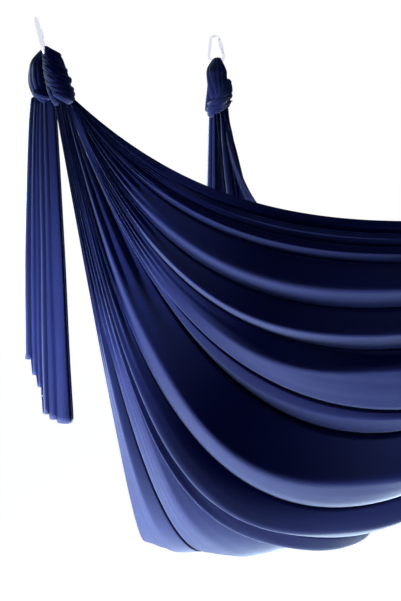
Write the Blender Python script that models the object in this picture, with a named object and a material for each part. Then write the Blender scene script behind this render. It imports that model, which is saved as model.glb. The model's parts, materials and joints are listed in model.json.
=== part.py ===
"""Aerial yoga hammock: one long tricot sling tied at both ends to a screw-gate carabiner.

Metres, +Z up. The origin is the front hang point, inside the top bow of the front carabiner.
+Y runs to the rear hang point and +X is the side to which the sling is opened out.
"""
import bpy
import bmesh
import math
from mathutils import Matrix, Vector

# Hang points
HANG_SPACING = 1.02          # front hang point to rear hang point, along Y
REAR_HANG_RISE = 0.047       # the rear sling strap is adjusted this much shorter
VIEW_TURN = math.radians(32)  # the knots and tails face this way round from the X axis

# Screw-gate carabiner, pear shaped, measured on the bar's centre line
BAR_RADIUS = 0.0055
TOP_BOW_RADIUS = 0.0175
BASKET_RADIUS = 0.0295
BOW_SPACING = 0.060          # centre of the top bow to centre of the basket
BAR_SIDES = 14
BASKET_STEPS = 16
TOP_BOW_STEPS = 12
PLATE_HALF = 0.0020          # half thickness of the flat tang and of the nose tongue
TANG_RADIUS = 0.0046
TONGUE_HALF = 0.0040
PIVOT_DROP = 0.0040          # pivot below the end of the top bow, along the gate
GATE_RADIUS = 0.0054
GATE_LENGTH = 0.0510         # pivot to the gate's nose end
GATE_SIDES = 20
GATE_CHAMFER = 0.12          # chamfer of the gate's nose end, as a share of its radius
FORK_CLEARANCE = 0.0003      # each side of a plate between two cheeks
HINGE_SLOT_DEPTH = 0.0060
NOSE_SLOT_DEPTH = 0.0085
SHOULDER_GAP = 0.0010        # gate's end to the shoulder of the nose
TONGUE_TIP_GAP = 0.0008
RIVET_RADIUS = 0.0018
LATCH_PIN_RADIUS = 0.0014
LATCH_PIN_INSET = 0.0030     # latch pin back from the gate's nose end
LATCH_PLAY = 0.00045
RIVET_SHARE = 0.96           # half the rivet's length, as a share of the gate's radius
LATCH_PIN_SHARE = 0.94
PIN_PROFILE = ((-1.0, 0.55), (-0.94, 0.9), (-0.88, 1.0), (0.88, 1.0), (0.94, 0.9), (1.0, 0.55))
PIN_CLEARANCE = 0.0003
SPRING_BORE_RADIUS = 0.0024
SPRING_BORE_END = 0.0300     # bore's blind end below the pivot
PLUNGER_RADIUS = 0.0021
PLUNGER_LENGTH = 0.0070
PLUNGER_PROFILE = ((0.0, 0.35), (0.06, 0.75), (0.16, 1.0), (0.92, 1.0), (1.0, 0.8))  # drop and width, as shares
SPRING_COIL_RADIUS = 0.0017
SPRING_WIRE_RADIUS = 0.00032
SPRING_TURNS = 8
SLEEVE_BORE_RADIUS = 0.0058
SLEEVE_RADIUS = 0.0084
SLEEVE_LENGTH = 0.0240
SLEEVE_TOP = 0.0130          # sleeve's upper end below the pivot, run back
SLEEVE_FLUTES = 16
SLEEVE_FLUTE_DEPTH = 0.0006
SLEEVE_GRIP_INSET = 0.0003   # the fluted grip lies this much below the two lips
SLEEVE_LIP = 0.0024
SLEEVE_CHAMFER = 0.0006
SLEEVE_CHAMFER_LENGTH = 0.0012
NECK_SHARE = 0.93            # the bar's chamfer at a shoulder, as a share of its radius
NECK_LENGTH_SHARE = 0.1
PLATE_SQUARENESS = 0.45      # 1 is an oval section and lower is boxier
TIP_SHARES = (0.55, 0.85, 1.0)  # the tongue's rounded tip, as shares of its width

# Cloth
CLOTH_THICKNESS = 0.0012
SEAT_GAP = 0.0003            # between pieces that touch
KNOT_GAP = 0.0005            # between the faceted knot and the cloth that leaves it
SLING_END_GAP = 0.00074      # from the knot to the middle of the sling's end edge
LOOP_HALF_WIDTH = 0.0165     # gathered cloth inside the eye, along the bar
LOOP_HALF_DEPTH = 0.0120
LOOP_LEG_HALF_DEPTH = 0.0200  # the bundle puffs out again below the bar
LOOP_LEG_GAP = 0.0010        # between the two legs
LOOP_LEG_BOW = 0.15
LOOP_RIDGES = 7
LOOP_RIDGE_HEIGHT = 0.0008
KNOT_WRAPS = 4
KNOT_WRAP_HEIGHT = 0.0040
KNOT_RINGS = 16
KNOT_SIDES = 28

# Sling: its spread section halfway between the knots, X and Z from the lower to the upper selvedge
SLING_SECTION = [(0.010, -1.875), (0.25, -1.855), (0.47, -1.80), (0.68, -1.715), (0.88, -1.61), (1.05, -1.47),
                 (1.16, -1.29), (1.21, -1.10), (1.215, -0.92), (1.19, -0.75), (1.115, -0.575)]
# How its thread lines leave a knot: place across the cloth, 0 at the lower selvedge and 1 at the upper one,
# then how far a line heads out along X, along Y and down, and how far it runs straight through the middle
THREAD_GUIDES = [(0.0, 0.150, 0.170, 1.50, 0.060), (0.214, 0.167, 0.197, 1.580, 0.100),
                 (0.345, 0.177, 0.216, 1.626, 0.130), (0.569, 0.218, 0.225, 1.738, 0.270),
                 (0.690, 0.357, 0.366, 1.420, 0.270), (0.712, 0.302, 0.263, 1.188, 0.310),
                 (0.813, 0.284, 0.249, 1.012, 0.310), (0.879, 0.283, 0.257, 0.863, 0.310),
                 (0.938, 0.289, 0.266, 0.632, 0.330), (1.0, 0.366, 0.337, 0.460, 0.300)]
RIM_START = 0.6              # above this place across, the rim's own values come in
REAR_RIM_CHANGE = (-0.08, -0.09, 0.31, -0.03)  # added to the guides at the rear knot's rim
RIM_SLANT = (-0.07, -0.15)   # run of the rim's line through the middle, along X and Z per unit of Y
# Folds from the lower selvedge up: where the valley below the fold lies across the cloth, the fold's height beside
# the middle and in it, and the share of the fold that is its lower flank, beside the middle and in it
FOLDS = [(0.0, 0.020, 0.010, 0.50, 0.50), (0.214, 0.045, 0.020, 0.36, 0.45), (0.345, 0.095, 0.036, 0.26, 0.55),
         (0.569, 0.095, 0.085, 0.26, 0.36), (0.690, 0.062, 0.055, 0.36, 0.70), (0.813, 0.055, 0.050, 0.34, 0.38),
         (0.879, 0.050, 0.048, 0.34, 0.40), (0.938, 0.026, 0.024, 0.40, 0.36)]
FOLD_ROUNDNESS = 1.35        # power of a fold's flanks: 1 is a straight flank
FOLD_CROWDING = 0.7          # at the knot a fold is this many times as high as it is wide
FOLD_DROOP = 0.20            # a crest hangs below its own root by this share of its height
FOLD_OPENING = 0.55          # a fold has its full height from here on, 0 at the knot and 1 in the middle
FOLD_MIDDLE_START = 0.45     # between these two a fold takes on its middle height and flank
FOLD_MIDDLE_END = 0.90
FOLD_FLANK_STEPS = 2
FOLD_SLOPE_STEPS = 2
SLING_ROWS = 14
SLING_ROW_CROWDING = 0.35    # rows lie closer together towards the knots
DIRECTION_STEP = 0.01        # step across and along the cloth over which its directions are taken

# Tails
TAIL_LENGTH = 1.04
TAIL_TOP_RISE = -0.020       # top of the tail from the knot's middle
TAIL_TOP_WIDTH = 0.066
TAIL_WIDTH = 0.160
TAIL_OPENING = 0.55          # power of the tail's spread: lower opens it nearer to the knot
TAIL_FOLD_HEIGHT = 0.028
TAIL_FOLD_HEIGHT_AT_KNOT = 0.008
TAIL_FOLD_STEPS = 4
TAIL_ROWS = 9

FRONT = {
    "name": "front",
    "side": 1.0,
    "lean": (0.17, 0.15),          # run of the carabiner's line per unit of drop
    "plane": (-0.60, 0.80),        # horizontal line that lies in the carabiner's plane
    "knot_drop": 0.178,            # hang point to the middle of the knot
    "knot_shift": 0.002,           # knot's middle to the right of that line
    "knot_size": (0.062, 0.051, 0.057),
    "leg_half_width": 0.028,
    "sling_exit": ((0.014, -0.018, -0.054), (0.052, -0.012, -0.036)),
    "tail_shift": (-0.035, -0.055),  # tail's middle to the right of the knot's, at its top and at its hem
    "tail_ahead": 0.018,
    "tail_folds": [(0.17, 0.213), (0.13, 0.160), (0.10, 0.120), (0.14, 0.030), (0.16, 0.012), (0.30, 0.0)],
}
REAR = {
    "name": "rear",
    "side": -1.0,
    "lean": (0.17, -0.10),
    "plane": (0.80, 0.60),
    "knot_drop": 0.227,
    "knot_shift": 0.002,
    "knot_size": (0.057, 0.050, 0.056),
    "leg_half_width": 0.034,
    "sling_exit": ((-0.026, -0.012, -0.050), (0.046, -0.008, -0.036)),
    "tail_shift": (-0.018, -0.012),
    "tail_ahead": 0.042,
    "tail_folds": [(0.20, 0.05), (0.16, 0.0), (0.24, 0.02), (0.14, 0.10), (0.26, 0.15)],
}

NAVY = (0.012, 0.020, 0.075, 1.0)
ALUMINIUM = (0.80, 0.81, 0.83, 1.0)
STEEL = (0.55, 0.56, 0.58, 1.0)

RIGHT = Vector((math.cos(VIEW_TURN), math.sin(VIEW_TURN), 0.0))
AHEAD = Vector((-math.sin(VIEW_TURN), math.cos(VIEW_TURN), 0.0))


def clear_scene():
    for item in list(bpy.data.objects):
        bpy.data.objects.remove(item)


def make_material(name, colour, roughness, metallic):
    material = bpy.data.materials.new(name)
    material.use_nodes = True
    surface = material.node_tree.nodes["Principled BSDF"]
    surface.inputs["Base Color"].default_value = colour
    surface.inputs["Roughness"].default_value = roughness
    surface.inputs["Metallic"].default_value = metallic
    material.diffuse_color = colour
    return material


def make_object(name, points, faces, material, parent=None, sharp=math.radians(40)):
    mesh = bpy.data.meshes.new(name)
    mesh.from_pydata([tuple(p) for p in points], [], faces)
    shape = bmesh.new()
    shape.from_mesh(mesh)
    bmesh.ops.recalc_face_normals(shape, faces=shape.faces)
    shape.to_mesh(mesh)
    shape.free()
    mesh.shade_smooth()
    mesh.set_sharp_from_angle(angle=sharp)
    mesh.materials.append(material)
    item = bpy.data.objects.new(name, mesh)
    bpy.context.collection.objects.link(item)
    item.parent = parent
    return item


def make_empty(name, parent, matrix):
    item = bpy.data.objects.new(name, None)
    bpy.context.collection.objects.link(item)
    item.parent = parent
    item.matrix_local = matrix
    return item


def cut(target, name, points, faces, parent):
    """Takes a hidden closed shape out of a piece."""
    cutter = make_object(name, points, faces, target.data.materials[0], parent)
    cutter.hide_render = True
    cutter.display_type = 'WIRE'
    change = target.modifiers.new(name, 'BOOLEAN')
    change.object = cutter
    change.operation = 'DIFFERENCE'
    change.solver = 'EXACT'
    return cutter


def skin(rings, close_ends=True):
    """Points and faces of a tube through rings that hold equally many points."""
    sides = len(rings[0])
    points = [p for ring in rings for p in ring]
    faces = []
    for row in range(len(rings) - 1):
        for k in range(sides):
            a = row * sides + k
            b = row * sides + (k + 1) % sides
            faces.append((a, b, b + sides, a + sides))
    if close_ends:
        faces.append(tuple(reversed(range(sides))))
        faces.append(tuple((len(rings) - 1) * sides + k for k in range(sides)))
    return points, faces


def rod(radius, start, end, axis='Z', sides=16, centre=(0.0, 0.0, 0.0)):
    """A round bar along one local axis."""
    rings = []
    for along in (start, end):
        ring = []
        for k in range(sides):
            angle = 2 * math.pi * k / sides
            a = radius * math.cos(angle)
            b = radius * math.sin(angle)
            spot = Vector((a, b, along)) if axis == 'Z' else Vector((a, along, b))
            ring.append(spot + Vector(centre))
        rings.append(ring)
    return skin(rings)


def block(low, high):
    corners = [Vector((x, y, z)) for z in (low[2], high[2]) for y in (low[1], high[1]) for x in (low[0], high[0])]
    faces = [(0, 2, 3, 1), (4, 5, 7, 6), (0, 1, 5, 4), (2, 6, 7, 3), (0, 4, 6, 2), (1, 3, 7, 5)]
    return corners, faces


def smooth(low, high, value):
    share = min(max((value - low) / (high - low), 0.0), 1.0)
    return share * share * (3 - 2 * share)


def blend(places, values, where):
    """A smooth curve through rows of values that stand at uneven places."""
    last = len(places) - 1
    index = 0
    while index < last - 1 and where > places[index + 1]:
        index += 1
    before, after = max(index - 1, 0), min(index + 2, last)
    width = places[index + 1] - places[index]
    share = min(max((where - places[index]) / width, 0.0), 1.0)
    out = []
    for p, q, r, s in zip(values[before], values[index], values[index + 1], values[after]):
        leave = (r - p) / (places[index + 1] - places[before]) * width
        arrive = (s - q) / (places[after] - places[index]) * width
        out.append(q + share * leave + share ** 2 * (3 * (r - q) - 2 * leave - arrive)
                   + share ** 3 * (2 * (q - r) + leave + arrive))
    return out


# Carabiner

def taper_angle():
    return math.asin((BASKET_RADIUS - TOP_BOW_RADIUS) / BOW_SPACING)


def gate_line(distance):
    """A point on the gate side's centre line, measured down from the end of the top bow."""
    tilt = taper_angle()
    start = Vector((TOP_BOW_RADIUS * math.cos(tilt), 0.0,
                    BASKET_RADIUS + BOW_SPACING + TOP_BOW_RADIUS * math.sin(tilt)))
    return start + Vector((math.sin(tilt), 0.0, -math.cos(tilt))) * distance


def bar_section(centre, outward, half_wide, half_thick, squareness):
    """A ring in the plane of `outward` and local Y; squareness 1 is round and lower is boxier."""
    ring = []
    for k in range(BAR_SIDES):
        angle = 2 * math.pi * (k + 0.5) / BAR_SIDES
        wide = math.copysign(abs(math.cos(angle)) ** squareness, math.cos(angle)) * half_wide
        thick = math.copysign(abs(math.sin(angle)) ** squareness, math.sin(angle)) * half_thick
        ring.append(centre + outward * wide + Vector((0.0, thick, 0.0)))
    return ring


def carabiner_frame(end, parent, metal):
    """The bent bar, from the nose tongue round the basket, up the spine and over to the hinge tang."""
    tilt = taper_angle()
    gate_out = Vector((math.cos(tilt), 0.0, math.sin(tilt)))
    gate_end = PIVOT_DROP + GATE_LENGTH
    shoulder = gate_end + SHOULDER_GAP
    tip = gate_end - NOSE_SLOT_DEPTH + TONGUE_TIP_GAP
    rings = []
    tip_round = TONGUE_HALF / 2
    for share in TIP_SHARES:
        back = tip_round * (1 - math.sqrt(1 - (1 - share) ** 2)) if share < 1.0 else tip_round
        rings.append(bar_section(gate_line(tip + back), gate_out, TONGUE_HALF * share, PLATE_HALF, PLATE_SQUARENESS))
    rings.append(bar_section(gate_line(shoulder), gate_out, TONGUE_HALF, PLATE_HALF, PLATE_SQUARENESS))
    neck = BAR_RADIUS * NECK_SHARE
    rings.append(bar_section(gate_line(shoulder), gate_out, neck, neck, 1.0))
    full_bar = shoulder + BAR_RADIUS * NECK_LENGTH_SHARE
    rings.append(bar_section(gate_line(full_bar), gate_out, BAR_RADIUS, BAR_RADIUS, 1.0))
    basket = Vector((0.0, 0.0, BASKET_RADIUS))
    for k in range(BASKET_STEPS + 1):
        angle = tilt - (math.pi + 2 * tilt) * k / BASKET_STEPS
        outward = Vector((math.cos(angle), 0.0, math.sin(angle)))
        rings.append(bar_section(basket + outward * BASKET_RADIUS, outward, BAR_RADIUS, BAR_RADIUS, 1.0))
    top = basket + Vector((0.0, 0.0, BOW_SPACING))
    for k in range(TOP_BOW_STEPS + 1):
        angle = math.pi - tilt - (math.pi - 2 * tilt) * k / TOP_BOW_STEPS
        outward = Vector((math.cos(angle), 0.0, math.sin(angle)))
        rings.append(bar_section(top + outward * TOP_BOW_RADIUS, outward, BAR_RADIUS, BAR_RADIUS, 1.0))
    hinge_shoulder = PIVOT_DROP - GATE_RADIUS - SHOULDER_GAP
    rings.append(bar_section(gate_line(hinge_shoulder), gate_out, neck, neck, 1.0))
    rings.append(bar_section(gate_line(hinge_shoulder), gate_out, TANG_RADIUS, PLATE_HALF, PLATE_SQUARENESS))
    for degrees in (0, 30, 55, 75):
        reach = TANG_RADIUS * math.sin(math.radians(degrees))
        half = TANG_RADIUS * math.cos(math.radians(degrees))
        rings.append(bar_section(gate_line(PIVOT_DROP + reach), gate_out, half, PLATE_HALF, PLATE_SQUARENESS))
    points, faces = skin(rings)
    frame = make_object(end["name"] + "_carabiner_frame", points, faces, metal, parent)
    pivot = gate_line(PIVOT_DROP)
    hole = rod(RIVET_RADIUS + PIN_CLEARANCE, -BAR_RADIUS, BAR_RADIUS, 'Y', 16, pivot)
    cut(frame, end["name"] + "_tang_hole_cutter", *hole, parent)
    pin_at = gate_line(gate_end - LATCH_PIN_INSET)
    slot_half = LATCH_PIN_RADIUS + LATCH_PLAY
    down = Vector((math.sin(tilt), 0.0, -math.cos(tilt)))
    slot = []
    for thick in (-BAR_RADIUS, BAR_RADIUS):
        ring = []
        for k in range(7):
            angle = math.pi / 2 - math.pi * k / 6
            ring.append(pin_at + gate_out * (slot_half * math.cos(angle)) + down * (slot_half * math.sin(angle)))
        ring.append(pin_at - gate_out * 2 * BAR_RADIUS - down * slot_half)
        ring.append(pin_at - gate_out * 2 * BAR_RADIUS + down * slot_half)
        slot.append([p + Vector((0.0, thick, 0.0)) for p in ring])
    cut(frame, end["name"] + "_latch_slot_cutter", *skin(slot), parent)
    return frame


def gate_piece(end, parent, metal):
    """The gate: a round bar with a fork at the hinge, a fork at the nose and a blind spring bore."""
    rings = []
    for degrees in (80, 60, 40, 20, 0):
        high = GATE_RADIUS * math.sin(math.radians(degrees))
        wide = GATE_RADIUS * math.cos(math.radians(degrees))
        rings.append((high, wide))
    rings.append((-GATE_LENGTH + GATE_RADIUS * GATE_CHAMFER, GATE_RADIUS))
    rings.append((-GATE_LENGTH, GATE_RADIUS * (1 - GATE_CHAMFER)))
    turns = [2 * math.pi * (k + 0.5) / GATE_SIDES for k in range(GATE_SIDES)]
    body = []
    for high, wide in rings:
        body.append([Vector((wide * math.cos(angle), wide * math.sin(angle), high)) for angle in turns])
    gate = make_object(end["name"] + "_gate", *skin(body), metal, parent)
    slot_half = PLATE_HALF + FORK_CLEARANCE
    far = 2 * GATE_RADIUS
    cut(gate, end["name"] + "_hinge_fork_cutter",
        *block((-far, -slot_half, -HINGE_SLOT_DEPTH), (far, slot_half, far)), parent)
    cut(gate, end["name"] + "_nose_fork_cutter",
        *block((-far, -slot_half, -GATE_LENGTH - far), (far, slot_half, -GATE_LENGTH + NOSE_SLOT_DEPTH)), parent)
    cut(gate, end["name"] + "_spring_bore_cutter",
        *rod(SPRING_BORE_RADIUS, -SPRING_BORE_END, -HINGE_SLOT_DEPTH / 2, 'Z', 16), parent)
    cut(gate, end["name"] + "_rivet_hole_cutter",
        *rod(RIVET_RADIUS + PIN_CLEARANCE, -far, far, 'Y', 14), parent)
    pin_spot = (0.0, 0.0, -GATE_LENGTH + LATCH_PIN_INSET)
    cut(gate, end["name"] + "_pin_hole_cutter",
        *rod(LATCH_PIN_RADIUS + PIN_CLEARANCE, -far, far, 'Y', 12, pin_spot), parent)
    return gate


def domed_pin(name, radius, half_length, spot, parent, metal, sides=12):
    """A pin across the gate with slightly domed ends."""
    rings = []
    for along, share in PIN_PROFILE:
        ring = []
        for k in range(sides):
            angle = 2 * math.pi * k / sides
            ring.append(Vector((radius * share * math.cos(angle) + spot[0], along * half_length + spot[1],
                                radius * share * math.sin(angle) + spot[2])))
        rings.append(ring)
    return make_object(name, *skin(rings), metal, parent)


def plunger(end, parent, metal):
    """The round-nosed plunger that the spring presses on the tang."""
    top = -TANG_RADIUS - PIN_CLEARANCE
    rings = []
    for drop, share in PLUNGER_PROFILE:
        ring = []
        for k in range(12):
            angle = 2 * math.pi * k / 12
            ring.append(Vector((PLUNGER_RADIUS * share * math.cos(angle), PLUNGER_RADIUS * share * math.sin(angle),
                                top - drop * PLUNGER_LENGTH)))
        rings.append(ring)
    return make_object(end["name"] + "_spring_plunger", *skin(rings), metal, parent)


def gate_spring(end, parent, metal):
    """One unbroken coil between the plunger and the blind end of the bore."""
    top = -TANG_RADIUS - PIN_CLEARANCE - PLUNGER_LENGTH - PIN_CLEARANCE - SPRING_WIRE_RADIUS
    bottom = -SPRING_BORE_END + PIN_CLEARANCE + SPRING_WIRE_RADIUS
    per_turn = 9
    count = SPRING_TURNS * per_turn
    curve = bpy.data.curves.new(end["name"] + "_gate_spring", 'CURVE')
    curve.dimensions = '3D'
    curve.bevel_depth = SPRING_WIRE_RADIUS
    curve.bevel_resolution = 1
    curve.use_fill_caps = True
    spline = curve.splines.new('POLY')
    spline.points.add(count)
    for k in range(count + 1):
        angle = 2 * math.pi * k / per_turn
        spline.points[k].co = (SPRING_COIL_RADIUS * math.cos(angle), SPRING_COIL_RADIUS * math.sin(angle),
                               top + (bottom - top) * k / count, 1.0)
    curve.materials.append(metal)
    item = bpy.data.objects.new(end["name"] + "_gate_spring", curve)
    bpy.context.collection.objects.link(item)
    item.parent = parent
    pitch = (top - bottom) / SPRING_TURNS
    print(end["name"], "spring: least gap between turns", round((pitch - 2 * SPRING_WIRE_RADIUS) * 1000, 2), "mm")
    return item


def lock_sleeve(end, parent, metal):
    """The fluted lock sleeve, run back along the gate so that the gate is free to open."""
    sides = SLEEVE_FLUTES * 2
    top = -SLEEVE_TOP
    bottom = top - SLEEVE_LENGTH
    edge = SLEEVE_RADIUS - SLEEVE_CHAMFER
    grip = SLEEVE_RADIUS - SLEEVE_GRIP_INSET
    profile = [(bottom, SLEEVE_BORE_RADIUS, 0.0), (top, SLEEVE_BORE_RADIUS, 0.0), (top, edge, 0.0),
               (top - SLEEVE_CHAMFER_LENGTH, SLEEVE_RADIUS, 0.0), (top - SLEEVE_LIP, SLEEVE_RADIUS, 0.0),
               (top - SLEEVE_LIP, grip, SLEEVE_FLUTE_DEPTH), (bottom + SLEEVE_LIP, grip, SLEEVE_FLUTE_DEPTH),
               (bottom + SLEEVE_LIP, SLEEVE_RADIUS, 0.0), (bottom + SLEEVE_CHAMFER_LENGTH, SLEEVE_RADIUS, 0.0),
               (bottom, edge, 0.0)]
    rings = []
    for high, radius, flute in profile:
        ring = []
        for k in range(sides):
            angle = 2 * math.pi * k / sides
            reach = radius - flute * (k % 2)
            ring.append(Vector((reach * math.cos(angle), reach * math.sin(angle), high)))
        rings.append(ring)
    points, faces = skin(rings, close_ends=False)
    last = (len(rings) - 1) * sides
    for k in range(sides):
        faces.append((last + k, last + (k + 1) % sides, (k + 1) % sides, k))
    return make_object(end["name"] + "_lock_sleeve", points, faces, metal, parent, math.radians(25))


def hang_point(end):
    if end["side"] > 0:
        return Vector((0.0, 0.0, 0.0))
    return Vector((0.0, HANG_SPACING, REAR_HANG_RISE))


def carabiner_axes(end):
    """The carabiner's own axes: across its plane's width, through its thickness, and up to the hang point."""
    up = Vector((-end["lean"][0], -end["lean"][1], 1.0)).normalized()
    across = Vector((end["plane"][0], end["plane"][1], 0.0))
    across = (across - up * across.dot(up)).normalized()
    through = up.cross(across)
    return across, through, up


def swing_point(end):
    """The middle of the basket bar, which the carabiner swings about."""
    _, _, up = carabiner_axes(end)
    inside = BASKET_RADIUS + BOW_SPACING + TOP_BOW_RADIUS - BAR_RADIUS
    return hang_point(end) - up * inside


def build_carabiner(end, metal, steel):
    across, through, up = carabiner_axes(end)
    turn = Matrix((across, through, up)).transposed().to_4x4()
    base = make_empty(end["name"] + "_carabiner", None, Matrix.Translation(swing_point(end)) @ turn)
    carabiner_frame(end, base, metal)
    tilt = taper_angle()
    gate_turn = Matrix((Vector((math.cos(tilt), 0.0, math.sin(tilt))), Vector((0.0, 1.0, 0.0)),
                        Vector((-math.sin(tilt), 0.0, math.cos(tilt))))).transposed().to_4x4()
    hinge = make_empty(end["name"] + "_gate_hinge", base, Matrix.Translation(gate_line(PIVOT_DROP)) @ gate_turn)
    gate_piece(end, hinge, metal)
    domed_pin(end["name"] + "_gate_rivet", RIVET_RADIUS, GATE_RADIUS * RIVET_SHARE, (0.0, 0.0, 0.0), hinge, steel)
    domed_pin(end["name"] + "_latch_pin", LATCH_PIN_RADIUS, GATE_RADIUS * LATCH_PIN_SHARE,
              (0.0, 0.0, -GATE_LENGTH + LATCH_PIN_INSET), hinge, steel, 10)
    plunger(end, hinge, steel)
    gate_spring(end, hinge, steel)
    lock_sleeve(end, hinge, metal)


# Knots

def knot_centre(end):
    lean = Vector((end["lean"][0], end["lean"][1], -1.0))
    return hang_point(end) + lean * end["knot_drop"] + RIGHT * end["knot_shift"]


def knot_shape(end, grow):
    """Wound ball of cloth with diagonal wraps, grown all round by `grow`."""
    centre = knot_centre(end)
    wide, deep, high = end["knot_size"]
    rings = []
    for row in range(1, KNOT_RINGS):
        polar = math.pi * row / KNOT_RINGS
        ring = []
        for k in range(KNOT_SIDES):
            angle = 2 * math.pi * k / KNOT_SIDES
            wave = math.sin(KNOT_WRAPS * polar + end["side"] * angle)
            swell = KNOT_WRAP_HEIGHT * (wave * wave - 0.5) * math.sin(polar)
            ring.append(centre + RIGHT * ((wide + swell + grow) * math.sin(polar) * math.cos(angle))
                        + AHEAD * ((deep + swell + grow) * math.sin(polar) * math.sin(angle))
                        + Vector((0.0, 0.0, (high + swell + grow) * math.cos(polar))))
        rings.append(ring)
    points, quads = skin(rings, close_ends=False)
    faces = [tri for a, b, c, d in quads for tri in ((a, b, c), (a, c, d))]
    top = len(points)
    points = points + [centre + Vector((0.0, 0.0, high + grow)), centre - Vector((0.0, 0.0, high + grow))]
    last = (len(rings) - 1) * KNOT_SIDES
    for k in range(KNOT_SIDES):
        faces.append((top, (k + 1) % KNOT_SIDES, k))
        faces.append((top + 1, last + k, last + (k + 1) % KNOT_SIDES))
    return points, faces


def knot_loop(end, cloth):
    """The gathered cloth: up from the knot, through the eye over the basket bar, and down again."""
    across, through, up = carabiner_axes(end)
    bar = swing_point(end)
    into_knot = knot_centre(end) + Vector((0.0, 0.0, end["knot_size"][2] * 0.25))
    seat = BAR_RADIUS + SEAT_GAP + LOOP_HALF_DEPTH + LOOP_RIDGE_HEIGHT
    path = []
    for k in range(11):
        angle = math.pi * k / 10
        path.append((bar + through * (seat * math.cos(angle)) + up * (seat * math.sin(angle)), 0.0))
    legs = []
    leg_spread = LOOP_LEG_HALF_DEPTH + LOOP_RIDGE_HEIGHT * LOOP_LEG_HALF_DEPTH / LOOP_HALF_DEPTH + LOOP_LEG_GAP / 2
    for side in (1.0, -1.0):
        leg = []
        for k in range(1, 7):
            share = k / 6
            start = bar + through * side * seat
            goal = into_knot + through * side * leg_spread
            leg.append((start.lerp(goal, share) + through * side * leg_spread * LOOP_LEG_BOW
                        * math.sin(math.pi * share), smooth(0.0, 1.0, share)))
        legs.append(leg)
    path = list(reversed(legs[0])) + path + legs[1]
    rings = []
    sides = LOOP_RIDGES * 3
    for index, (spot, flare) in enumerate(path):
        before = path[max(index - 1, 0)][0]
        after = path[min(index + 1, len(path) - 1)][0]
        along = (after - before).normalized()
        outward = along.cross(across).normalized()
        half_wide = LOOP_HALF_WIDTH + (end["leg_half_width"] - LOOP_HALF_WIDTH) * flare
        half_deep = LOOP_HALF_DEPTH + (LOOP_LEG_HALF_DEPTH - LOOP_HALF_DEPTH) * flare
        ring = []
        for k in range(sides):
            angle = 2 * math.pi * k / sides
            ridge = 1.0 + LOOP_RIDGE_HEIGHT / LOOP_HALF_DEPTH * math.cos(LOOP_RIDGES * angle)
            ring.append(spot + across * (half_wide * ridge * math.cos(angle))
                        + outward * (half_deep * ridge * math.sin(angle)))
        rings.append(ring)
    loop = make_object(end["name"] + "_knot_loop", *skin(rings), cloth)
    cut(loop, end["name"] + "_loop_seat_cutter", *knot_shape(end, KNOT_GAP), None)
    return loop


def build_knot(end, cloth):
    make_object(end["name"] + "_knot_wrap", *knot_shape(end, 0.0), cloth)
    knot_loop(end, cloth)


# Sling

def section_point(across):
    places = [k / (len(SLING_SECTION) - 1) for k in range(len(SLING_SECTION))]
    x, z = blend(places, SLING_SECTION, across)
    return Vector((x, HANG_SPACING / 2, z))


def thread_guide(across, end):
    """How a thread line leaves its knot, along X, Y and down, and its run through the middle, in metres."""
    guide = blend([row[0] for row in THREAD_GUIDES], [row[1:] for row in THREAD_GUIDES], across)
    if end["side"] < 0:
        rim = smooth(RIM_START, 1.0, across)
        guide = [value + change * rim for value, change in zip(guide, REAR_RIM_CHANGE)]
    out, along, drop, belly = guide
    return Vector((out, along * end["side"], -drop)), belly


def knot_surface(end, toward, clear):
    """The point of the knot's surface in a direction from its middle, moved out by `clear`."""
    wide, deep, high = end["knot_size"]
    swell = 0.0
    for _ in range(4):
        x = toward.dot(RIGHT) / (wide + swell)
        y = toward.dot(AHEAD) / (deep + swell)
        z = toward.z / (high + swell)
        reach = 1 / math.sqrt(x * x + y * y + z * z)
        polar = math.acos(max(-1.0, min(1.0, z * reach)))
        wave = math.sin(KNOT_WRAPS * polar + end["side"] * math.atan2(y, x))
        swell = KNOT_WRAP_HEIGHT * (wave * wave - 0.5) * math.sin(polar)
    return knot_centre(end) + toward * reach + toward.normalized() * clear


def sling_exit(end, across):
    """Where a thread line leaves the knot, as a direction from the knot's middle."""
    low, high = end["sling_exit"]
    right, ahead, up = (a + (b - a) * across for a, b in zip(low, high))
    return RIGHT * right + AHEAD * ahead + Vector((0.0, 0.0, up))


def sling_base(across, along):
    """A point on the surface that the valleys lie on; along is 0 at the front knot and 1 at the rear one."""
    end = FRONT if along <= 0.5 else REAR
    reach = 1 - abs(2 * along - 1)
    start = knot_surface(end, sling_exit(end, across), KNOT_GAP)
    middle = section_point(across)
    leave, belly = thread_guide(across, end)
    rim = smooth(RIM_START, 1.0, across)
    line = Vector((RIM_SLANT[0] * rim, 1.0, RIM_SLANT[1] * rim)) * belly * end["side"]
    a, b, c, d = start, start + leave, middle - line, middle
    return (a * (1 - reach) ** 3 + b * 3 * reach * (1 - reach) ** 2 + c * 3 * reach * reach * (1 - reach)
            + d * reach ** 3)


def fold_rise(share, flank):
    """A fold's rise above its valleys, 0 to 1: sharp in the valleys and round at the crest."""
    if share < flank:
        return 1 - (1 - share / flank) ** FOLD_ROUNDNESS
    return 1 - ((share - flank) / (1 - flank)) ** FOLD_ROUNDNESS


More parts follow.
